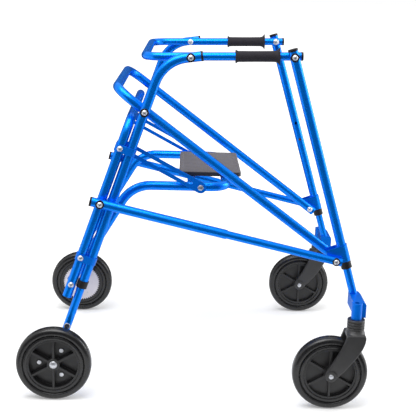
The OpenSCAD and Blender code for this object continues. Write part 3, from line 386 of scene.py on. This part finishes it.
for vertex, rest in zip(pad.data.vertices, restPlaces):
    move = vertex.co - rest
    if move.length > 0:
        # a soft cap, so that the crown stays round
        vertex.co = rest + move.normalized() * padPlan["cap"] * math.tanh(move.length / padPlan["cap"])
scene.frame_set(1)
roundOff = pad.modifiers.new("roundOff", "SUBSURF")
roundOff.levels = roundOff.render_levels = 1
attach(pad, "seat")
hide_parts("seat_pad")
print("seat cushion made")

# seam stitches: short arched threads in a row inside the edge of the cushion, drawn 1 mm thick so that they show;
# shares are places along half a stitch, and its ends taper
stitchPlan = {"pitch": 0.0056, "length": 0.0036, "radius": 0.0005, "arch": 0.0006, "sink": 0.0003,
              "shares": (-1.0, -0.8, -0.3, 0.3, 0.8, 1.0), "taper": 0.35, "steps": 6}


def stitchRow(low, high, inset, height):
    # middle points and directions of the stitches along the four sides of the seam
    corners = [(low.x + inset, low.y + inset), (high.x - inset, low.y + inset),
               (high.x - inset, high.y - inset), (low.x + inset, high.y - inset)]
    for start, end in zip(corners, corners[1:] + corners[:1]):
        run = Vector((end[0] - start[0], end[1] - start[1], 0))
        count = int((run.length - stitchPlan["pitch"]) / stitchPlan["pitch"])
        for n in range(count):
            yield Vector((start[0], start[1], height)) + run * (n + 1) / (count + 1), run.normalized()


def stitch(middle, way):
    across = Vector((-way.y, way.x, 0))
    points = []
    for share in stitchPlan["shares"]:
        thick = stitchPlan["radius"] * (stitchPlan["taper"] if abs(share) == 1 else 1)
        rise = stitchPlan["arch"] * (1 - share * share) - stitchPlan["sink"]
        core = middle + way * share * stitchPlan["length"] / 2 + axisZ * rise
        for k in range(stitchPlan["steps"]):
            angle = 2 * math.pi * k / stitchPlan["steps"]
            points.append(core + across * thick * math.cos(angle) + axisZ * thick * math.sin(angle))
    return points, ringFaces(len(stitchPlan["shares"]), stitchPlan["steps"], False)


seamRow = stitchRow(padLow, padHigh, padPlan["seamInset"], padLow.z + padPlan["seamHeight"])
stitches = joined([stitch(middle, way) for middle, way in seamRow])
addPiece("seatStitches", *stitches, seatThread, "seat", "seat_vinyl")
print("stitches made")

# black saddle washers: moulded rings under the bolt heads, hollowed below to sit on the tube;
# slopes are those of the tubes in degrees, and frontOuter is cut to the narrower tube of the stay
saddlePlan = {"steps": 48, "thick": 0.0008, "inner": 0.0062, "outer": 0.0101, "frontOuter": 0.0091,
              "innerEdge": 0.0005, "topEdge": 0.0007, "outerEdge": 0.0002,
              "tubeRadius": 0.0111, "stayRadius": 0.0095, "uprightFace": 0.2631,
              "swingSlope": 70.9, "handleSlope": 8.0, "pinSlope": 106.8}
# cap nuts: plated, on the inside of the handlebar at its front ends
capNutPlan = {"steps": 48, "flange": 0.0082, "flats": 0.0062, "height": 0.0062, "flangeEdge": 0.0004,
              "flangeTop": 0.001, "flangeBevel": 0.0005, "neck": 0.0012, "tubeRadius": 0.0095, "slope": 1.4,
              "dome": ((0.96, 0.56), (0.84, 0.76), (0.6, 0.92), (0.3, 1.0))}
swingPivot, handlePivot, earPivot, stayPivot = (
    Vector(joints[name]["pos_m"]) for name in ("fold", "handle_turn", "upright_turn", "stay_turn"))
pinLow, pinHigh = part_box("handle_pins")
frontPivot = (pinLow + pinHigh) / 2
staySlope = math.degrees(math.atan2(earPivot.z - stayPivot.z, earPivot.x - stayPivot.x))
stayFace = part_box("stay_outer_left")[1].y
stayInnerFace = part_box("stay_inner_left")[1].y
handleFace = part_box("handlebar")[1].y - 2 * capNutPlan["tubeRadius"]


def turned(rings, spot, side, facing, steps, closed):
    # rings of (radius, height, hexShare) round a bolt; a height of None follows the tube below the flat face
    pivot, slope, face, radius = spot
    along = Vector((math.cos(math.radians(slope)), 0, math.sin(math.radians(slope))))
    across = Vector((-along.z, 0, along.x))
    sixth = math.pi / 3
    points = []
    for size, height, hexShare in rings:
        for n in range(steps):
            angle = 2 * math.pi * n / steps
            corner = 1 / math.cos((angle + sixth / 2) % sixth - sixth / 2)
            reach = size * (1 - hexShare + hexShare * corner)
            over = reach * math.sin(angle)
            lift = math.sqrt(radius ** 2 - over ** 2) - radius if height is None else height
            base = Vector((pivot.x, side * (face + facing * lift), pivot.z))
            points.append(base + along * reach * math.cos(angle) + across * over)
    faces = ringFaces(len(rings), steps, closed)
    return points, flipped(faces) if side * facing > 0 else faces


def saddleRings(widest):
    inner, outer, thick = saddlePlan["inner"], saddlePlan["outer"], saddlePlan["thick"]
    rings = [(outer, None), (outer, thick * 0.1), (outer - saddlePlan["outerEdge"], thick * 0.65),
             (outer - saddlePlan["topEdge"], thick), (inner + saddlePlan["innerEdge"], thick),
             (inner, thick * 0.7), (inner, None)]
    return [(min(size, widest), height, 0) for size, height in rings]


def capNutRings():
    flange, flats, height = capNutPlan["flange"], capNutPlan["flats"], capNutPlan["height"]
    base = [(flange, None, 0), (flange, capNutPlan["flangeEdge"], 0),
            (flange - capNutPlan["flangeBevel"], capNutPlan["flangeTop"], 0),
            (flats, capNutPlan["neck"], 1), (flats, height * 0.5, 1)]
    return base + [(flats * wide, height * tall, 0) for wide, tall in capNutPlan["dome"]]


def saddleWashers(name, spots, body, widest=saddlePlan["outer"]):
    shells = [turned(saddleRings(widest), spot, side, 1, saddlePlan["steps"], True)
              for spot in spots for side in (-1, 1)]
    addPiece(name, *joined(shells), blackPlastic, body, "black_plastic")


uprightFace, tubeRadius = saddlePlan["uprightFace"], saddlePlan["tubeRadius"]
saddleWashers("uprightSaddleWashers",
              [(swingPivot, saddlePlan["swingSlope"], uprightFace, tubeRadius),
               (handlePivot, saddlePlan["handleSlope"], uprightFace, tubeRadius)], "rear_frame")
saddleWashers("pinSaddleWashers",
              [(frontPivot, saddlePlan["pinSlope"], uprightFace, tubeRadius)], "front_uprights")
saddleWashers("stayRearSaddleWashers", [(stayPivot, staySlope, stayFace, tubeRadius)], "stay_outers")
saddleWashers("stayFrontSaddleWashers", [(earPivot, staySlope, stayInnerFace, saddlePlan["stayRadius"])],
              "stay_inners", saddlePlan["frontOuter"])
nutSpot = (frontPivot, capNutPlan["slope"], handleFace, capNutPlan["tubeRadius"])
capNuts = joined([turned(capNutRings(), nutSpot, side, -1, capNutPlan["steps"], False) for side in (-1, 1)])
addPiece("handlebarCapNuts", *capNuts, zincPlate, "handlebar", "bright_steel")
print("washers and cap nuts made")

# grips: moulded foam sleeves with a small rear lip and a hollow flare to a thin front rim;
# start in metres from the handle pivot, bore and profile of (place along the grip, radius) in millimetres
gripPlan = {"start": 0.1014, "steps": 64, "bore": 9.6,
            "profile": ((0.0, 13.4), (0.5, 15.0), (1.3, 15.5), (2.3, 15.2), (3.4, 14.0), (5.0, 12.9), (7.5, 12.5),
                        (20.0, 12.4), (40.0, 12.25), (60.0, 12.25), (80.0, 12.4), (88.0, 12.5), (91.6, 12.9),
                        (94.6, 13.9), (97.0, 15.7), (98.9, 18.1), (100.1, 20.1), (100.6, 20.5), (101.0, 20.2),
                        (100.2, 17.0), (99.8, 13.0))}
handleWay = frontPivot - handlePivot
handleWay.y = 0
handleWay.normalize()
handleDown = axisY.cross(handleWay)
gripRings = [(r / 1000, s / 1000) for s, r in gripPlan["profile"]]
gripRings += [(gripPlan["bore"] / 1000, gripRings[-1][1]), (gripPlan["bore"] / 1000, 0.0)]
for gripSide in ("left", "right"):
    low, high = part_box("grip_" + gripSide)
    gripStart = Vector((handlePivot.x, (low.y + high.y) / 2, handlePivot.z)) + handleWay * gripPlan["start"]
    sleeve = spun(gripRings, gripStart, handleWay, handleDown, gripPlan["steps"], True)
    grip = addPiece("foamGrip" + gripSide.title(), *sleeve, gripFoam, "handlebar", "grip_foam")
    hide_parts("grip_" + gripSide)
print("grips made")

# tyres: solid rubber with a rounded tread, a groove beside it and a raised sidewall ring that dips to the hub;
# half a profile of (radius, distance from the middle plane) in millimetres
tyrePlan = {"steps": 120,
            "profile": ((62.05, 13.4), (62.9, 14.2), (64.2, 14.8), (66.5, 15.0), (69.4, 14.9), (70.6, 14.2),
                        (71.2, 12.2), (72.2, 11.2), (73.2, 12.2), (73.8, 14.6), (75.0, 15.7), (77.6, 16.0),
                        (80.4, 15.8), (83.2, 14.9), (85.6, 13.3), (87.4, 11.0), (88.5, 8.2), (88.95, 4.6),
                        (89.0, 0.0))}
halfTyre = [(r / 1000, y / 1000) for r, y in tyrePlan["profile"]]
tyreRings = [(r, -y) for r, y in halfTyre] + list(reversed(halfTyre[:-1]))
for nodeName in ("caster_tyre_left", "caster_tyre_right", "rear_tyre_left", "rear_tyre_right"):
    low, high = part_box(nodeName)
    kind, tyreSide = nodeName.split("_tyre_")
    shape = spun(tyreRings, (low + high) / 2, axisY, axisZ, tyrePlan["steps"], True)
    tyre = addPiece(kind + "Tyre" + tyreSide.title(), *shape, tyreRubber, kind + "_wheel_" + tyreSide, "tyre_rubber")
    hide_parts(nodeName)
print("tyres made")

# caster forks: one moulding with soft edges, a crown that widens from the collar and two arms swept back to the
# axle; sizes in millimetres from the swivel axis, heights from the floor, arcs as (start, stop, steps) in degrees;
# the crown's stations are (height, half length, half width, squareness) and the arms' points are (x, height)
forkPlan = {
    "crown": ((199.0, 19.6, 19.6, 2.0), (195.0, 20.6, 21.6, 2.2), (190.0, 21.8, 25.4, 2.7),
              (185.5, 22.2, 28.2, 3.4), (181.0, 22.2, 29.3, 4.0)), "crownSteps": 48,
    "armFront": ((21.0, 190.0), (22.0, 182.0), (20.6, 171.0), (16.4, 159.0), (8.0, 143.0), (-2.6, 128.0),
                 (-14.5, 113.0), (-27.5, 97.0)),
    "armRear": ((-67.5, 98.5), (-55.5, 117.0), (-44.5, 136.0), (-35.0, 155.0), (-28.5, 170.0), (-24.6, 181.0),
                (-21.8, 190.0)),
    "armSides": (19.8, 29.4), "axleSpot": (-55.0, 89.0), "endRadius": 14.5, "endArc": (-30, -212, 18),
    "bossRadius": 13.0, "bossHeight": 31.0, "bossArc": (0, 350, 35)}
# soft edges of the moulding: size of its voxels in metres, then rounds and strength of smoothing
meltPlan = {"voxel": 0.0015, "softening": 7, "strength": 0.5}
# ribbed collars over the forks, in the same millimetres: grooves counted from the top, each with points of
# (height, share of its depth), and a stem that runs on up inside the adapter
collarPlan = {"low": 195.0, "high": 222.4, "radius": 20.5, "foot": 2.0, "brow": 0.8, "stem": 6.0, "steps": 48,
              "grooves": (3, 2, 1), "pitch": 6.5, "depth": 2.0,
              "groove": ((-0.4, 0), (0.3, 1), (1.9, 1), (2.6, 0))}


def crownRing(height, halfX, halfY, power):
    # an oval that squares up as its power grows
    for n in range(forkPlan["crownSteps"]):
        turn = 2 * math.pi * n / forkPlan["crownSteps"]
        c, s = math.cos(turn), math.sin(turn)
        yield (math.copysign(halfX * abs(c) ** (2 / power), c),
               math.copysign(halfY * abs(s) ** (2 / power), s), height)


def collarRings():
    radius, high = collarPlan["radius"], collarPlan["high"]
    rings = [(radius - collarPlan["foot"], collarPlan["low"]), (radius, collarPlan["low"] + collarPlan["foot"])]
    for step in collarPlan["grooves"]:
        level = high - step * collarPlan["pitch"]
        rings += [(radius - share * collarPlan["depth"], level + rise) for rise, share in collarPlan["groove"]]
    rings += [(radius, high - collarPlan["brow"]), (radius - collarPlan["brow"], high), (collarPlan["stem"], high)]
    return [(r / 1000, z / 1000) for r, z in rings]


crownPoints = [point for station in forkPlan["crown"] for point in crownRing(*station)]
crownFaces = flipped(ringFaces(len(forkPlan["crown"]), forkPlan["crownSteps"], False))
armEnd = arc(forkPlan["axleSpot"], forkPlan["endRadius"], *forkPlan["endArc"])
armOutline = list(forkPlan["armFront"]) + armEnd + list(forkPlan["armRear"])
bossOutline = arc(forkPlan["axleSpot"], forkPlan["bossRadius"], *forkPlan["bossArc"])
armLow, armHigh = forkPlan["armSides"]
forkPoints, forkFaces = joined([
    (crownPoints, crownFaces), prism(armOutline, armLow, armHigh), prism(armOutline, -armHigh, -armLow),
    prism(bossOutline, -forkPlan["bossHeight"], -armLow), prism(bossOutline, armLow, forkPlan["bossHeight"])])
for forkSide in ("left", "right"):
    swivel = Vector(joints["caster_swivel_" + forkSide]["pos_m"])
    foot = Vector((swivel.x, swivel.y, 0))
    body = "caster_fork_" + forkSide
    forkPlaces = [foot + Vector(point) / 1000 for point in forkPoints]
    fork = addPiece("casterFork" + forkSide.title(), forkPlaces, forkFaces, forkNylon, body, "fork_plastic")
    fork.modifiers.clear()
    melt = fork.modifiers.new("oneMoulding", "REMESH")
    melt.mode, melt.voxel_size, melt.use_smooth_shade = "VOXEL", meltPlan["voxel"], True
    soften = fork.modifiers.new("softEdges", "SMOOTH")
    soften.factor, soften.iterations = meltPlan["strength"], meltPlan["softening"]
    rings = collarRings() + [(collarPlan["stem"] / 1000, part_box(body)[1].z)]
    collar = spun(rings, foot, axisZ, axisX, collarPlan["steps"], False)
    addPiece("casterCollar" + forkSide.title(), *collar, forkNylon, body, "fork_plastic")
    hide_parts(body)
print("forks made")

# caster axles: a plated pin with a small domed head at both ends; the dome's points are shares of (head, rise)
axlePlan = {"pin": 0.004, "seat": 0.0302, "head": 0.0056, "rise": 0.0026, "steps": 32,
            "dome": ((1.0, 0.0), (1.0, 0.4), (0.9, 0.7), (0.6, 0.92), (0.2, 1.0))}
axleEnd = [(axlePlan["head"] * wide, axlePlan["seat"] + axlePlan["rise"] * tall) for wide, tall in axlePlan["dome"]]
axleRings = [(r, -s) for r, s in reversed(axleEnd)]
axleRings += [(axlePlan["pin"], -axlePlan["seat"]), (axlePlan["pin"], axlePlan["seat"])] + axleEnd
for axleSide in ("left", "right"):
    centre = Vector(joints["caster_roll_" + axleSide]["pos_m"])
    shape = spun(axleRings, centre, axisY, axisZ, axlePlan["steps"], False)
    axle = addPiece("casterAxle" + axleSide.title(), *shape, zincPlate, "caster_fork_" + axleSide, "bright_steel")
    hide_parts("caster_axle_" + axleSide)
print("axles made")

# pawl washers: a plated ring round each pawl's sleeve where it meets the rear leg
ringPlan = {"inner": 0.0057, "outer": 0.0078, "thick": 0.0024, "gap": 0.0001, "rim": 0.7, "bevel": 0.0006, "steps": 40}
for ringSide, way in (("left", 1), ("right", -1)):
    legLow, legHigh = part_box("rear_leg_" + ringSide)
    centre = Vector(joints["pawl_lift_" + ringSide]["pos_m"])
    centre.y = legHigh.y if way > 0 else legLow.y
    inner, outer, thick = ringPlan["inner"], ringPlan["outer"], ringPlan["thick"]
    rings = [(inner, way * ringPlan["gap"]), (outer, way * ringPlan["gap"]), (outer, way * thick * ringPlan["rim"]),
             (outer - ringPlan["bevel"], way * thick), (inner, way * thick)]
    points, faces = spun(rings, centre, axisY, axisZ, ringPlan["steps"], True)
    addPiece("pawlWasher" + ringSide.title(), points, faces if way > 0 else flipped(faces), zincPlate,
             "rear_leg_" + ringSide, "bright_steel")
print("pawl washers made")

# camera solved from the photograph: place in metres, turns in degrees, focal length and middle in pixels of its
# square frame, sensor in millimetres
eye = {"place": (-0.0258, -2.3873, 0.9996), "yaw": 1.459, "pitch": 14.139, "roll": 1.612, "focal": 943.4,
       "middle": (207.3, 207.9), "frame": 416, "sensor": 36}
yaw, pitch, roll = (math.radians(eye[k]) for k in ("yaw", "pitch", "roll"))
ahead = Vector((math.sin(yaw) * math.cos(pitch), math.cos(yaw) * math.cos(pitch), -math.sin(pitch)))
right = Vector((math.cos(yaw), -math.sin(yaw), 0))
up = right.cross(ahead)
rolledRight = math.cos(roll) * right + math.sin(roll) * up
rolledUp = math.cos(roll) * up - math.sin(roll) * right
camera = bpy.data.objects.new("photoCamera", bpy.data.cameras.new("photoCamera"))
camera.matrix_world = Matrix((rolledRight, rolledUp, -ahead)).transposed().to_4x4()
camera.location = eye["place"]
camera.data.sensor_width = eye["sensor"]
camera.data.lens = eye["focal"] / eye["frame"] * eye["sensor"]
camera.data.shift_x = (eye["frame"] / 2 - eye["middle"][0]) / eye["frame"]
camera.data.shift_y = (eye["middle"][1] - eye["frame"] / 2) / eye["frame"]
scene.collection.objects.link(camera)
scene.camera = camera


def showsBackground(tree):
    # 1 for camera, glossy and transmission rays, 0 for the rays that light the object
    rays = addNode(tree, "ShaderNodeLightPath").outputs
    pair = addNode(tree, "ShaderNodeMath", {0: rays["Is Camera Ray"], 1: rays["Is Glossy Ray"]}, operation="MAXIMUM")
    every = addNode(tree, "ShaderNodeMath", {0: pair.outputs[0], 1: rays["Is Transmission Ray"]}, operation="MAXIMUM")
    return every.outputs[0]


# floor: pale diffuse, lifted to white for the rays that show the background, more so away from the object;
# distances in metres from the middle
floorPlan = {"half": 30, "tone": 0.86, "near": 0.7, "far": 2.2, "nearLift": 0.24, "farLift": 0.75}
pureWhite = (1, 1, 1, 1)
half = floorPlan["half"]
floorPaint = bpy.data.materials.new("paleFloor")
floor = addObject("floor", [(-half, -half, 0), (half, -half, 0), (half, half, 0), (-half, half, 0)],
                  [(0, 1, 2, 3)], floorPaint)
tree = emptyTree(floorPaint)
matt = addNode(tree, "ShaderNodeBsdfDiffuse", {"Color": (*[floorPlan["tone"]] * 3, 1)})
spot = addNode(tree, "ShaderNodeNewGeometry").outputs["Position"]
distance = addNode(tree, "ShaderNodeVectorMath", {0: spot}, operation="LENGTH").outputs["Value"]
reach = addNode(tree, "ShaderNodeMapRange", {
    "Value": distance, "From Min": floorPlan["near"], "From Max": floorPlan["far"],
    "To Min": floorPlan["nearLift"], "To Max": floorPlan["farLift"]}, interpolation_type="SMOOTHSTEP")
seen = addNode(tree, "ShaderNodeMath", {0: showsBackground(tree), 1: reach.outputs["Result"]}, operation="MULTIPLY")
lift = addNode(tree, "ShaderNodeEmission", {"Color": pureWhite, "Strength": seen.outputs[0]})
both = addNode(tree, "ShaderNodeAddShader", {0: matt.outputs[0], 1: lift.outputs[0]})
addNode(tree, "ShaderNodeOutputMaterial", {"Surface": both.outputs[0]})

# world: white where the background shows, and a soft studio to the object, bright above and dimmer towards the
# floor; low and high are the heights of the two strengths on a sphere of radius 1
worldPlan = {"low": -0.2, "high": 0.9, "dim": 0.3, "bright": 0.7, "background": 1.0}
world = bpy.data.worlds.new("softStudio")
scene.world = world
tree = emptyTree(world)
toward = addNode(tree, "ShaderNodeTexCoord").outputs["Generated"]
height = addNode(tree, "ShaderNodeSeparateXYZ", {0: toward}).outputs["Z"]
soft = addNode(tree, "ShaderNodeMapRange", {
    "Value": height, "From Min": worldPlan["low"], "From Max": worldPlan["high"],
    "To Min": worldPlan["dim"], "To Max": worldPlan["bright"]})
studio = addNode(tree, "ShaderNodeBackground", {"Color": pureWhite, "Strength": soft.outputs[0]})
white = addNode(tree, "ShaderNodeBackground", {"Color": pureWhite, "Strength": worldPlan["background"]})
chosen = addNode(tree, "ShaderNodeMixShader", {0: showsBackground(tree), 1: studio.outputs[0], 2: white.outputs[0]})
addNode(tree, "ShaderNodeOutputWorld", {"Surface": chosen.outputs[0]})

# two soft boxes: a key above, a little to the left and the front, and a lower one from the right, whose gleam runs
# along the right edge of the upright tubes; places and sizes in metres, power in watts
lampAim = Vector((0, 0, 0.4))
lampPlan = {"keyBox": {"place": (-0.5, -0.7, 2.8), "size": 2.2, "power": 62},
            "fillBox": {"place": (2.7, 0.5, 1.3), "size": 1.5, "power": 34}}
for name, plan in lampPlan.items():
    lamp = bpy.data.objects.new(name, bpy.data.lights.new(name, "AREA"))
    lamp.data.size = plan["size"]
    lamp.data.energy = plan["power"]
    lamp.location = plan["place"]
    lamp.rotation_euler = (lampAim - Vector(plan["place"])).to_track_quat("-Z", "Y").to_euler()
    scene.collection.objects.link(lamp)

# two dark coves, before and behind the object and seen only in its gloss: each lies on the floor and turns up at its
# far edge, and draws the dark bands along round tubes; stations are (distance from the middle, height) in metres
cardPlan = {"tone": "#5A5A5E", "stations": ((0.75, 0.004), (2.7, 0.004), (2.9, 0.2), (2.9, 2.2)),
            "from": -52, "to": 56, "steps": 20}
cardPaint = bpy.data.materials.new("darkStudioCard")
tree = emptyTree(cardPaint)
cardDull = addNode(tree, "ShaderNodeBsdfDiffuse", {"Color": linear(cardPlan["tone"])})
addNode(tree, "ShaderNodeOutputMaterial", {"Surface": cardDull.outputs[0]})
count = len(cardPlan["stations"])
for name, way in (("frontCard", -1), ("rearCard", 1)):
    points, faces = [], []
    for n in range(cardPlan["steps"] + 1):
        turn = math.radians(cardPlan["from"] + (cardPlan["to"] - cardPlan["from"]) * n / cardPlan["steps"])
        points += [(far * math.sin(turn), way * far * math.cos(turn), rise) for far, rise in cardPlan["stations"]]
    for n in range(cardPlan["steps"]):
        for k in range(count - 1):
            a, b = n * count + k, (n + 1) * count + k
            faces.append((a, b, b + 1, a + 1))
    card = addObject(name, points, faces, cardPaint)
    for kind in ("camera", "diffuse", "shadow", "transmission", "volume_scatter"):
        setattr(card, "visible_" + kind, False)

scene.view_settings.view_transform = "Standard"
print("scene ready")
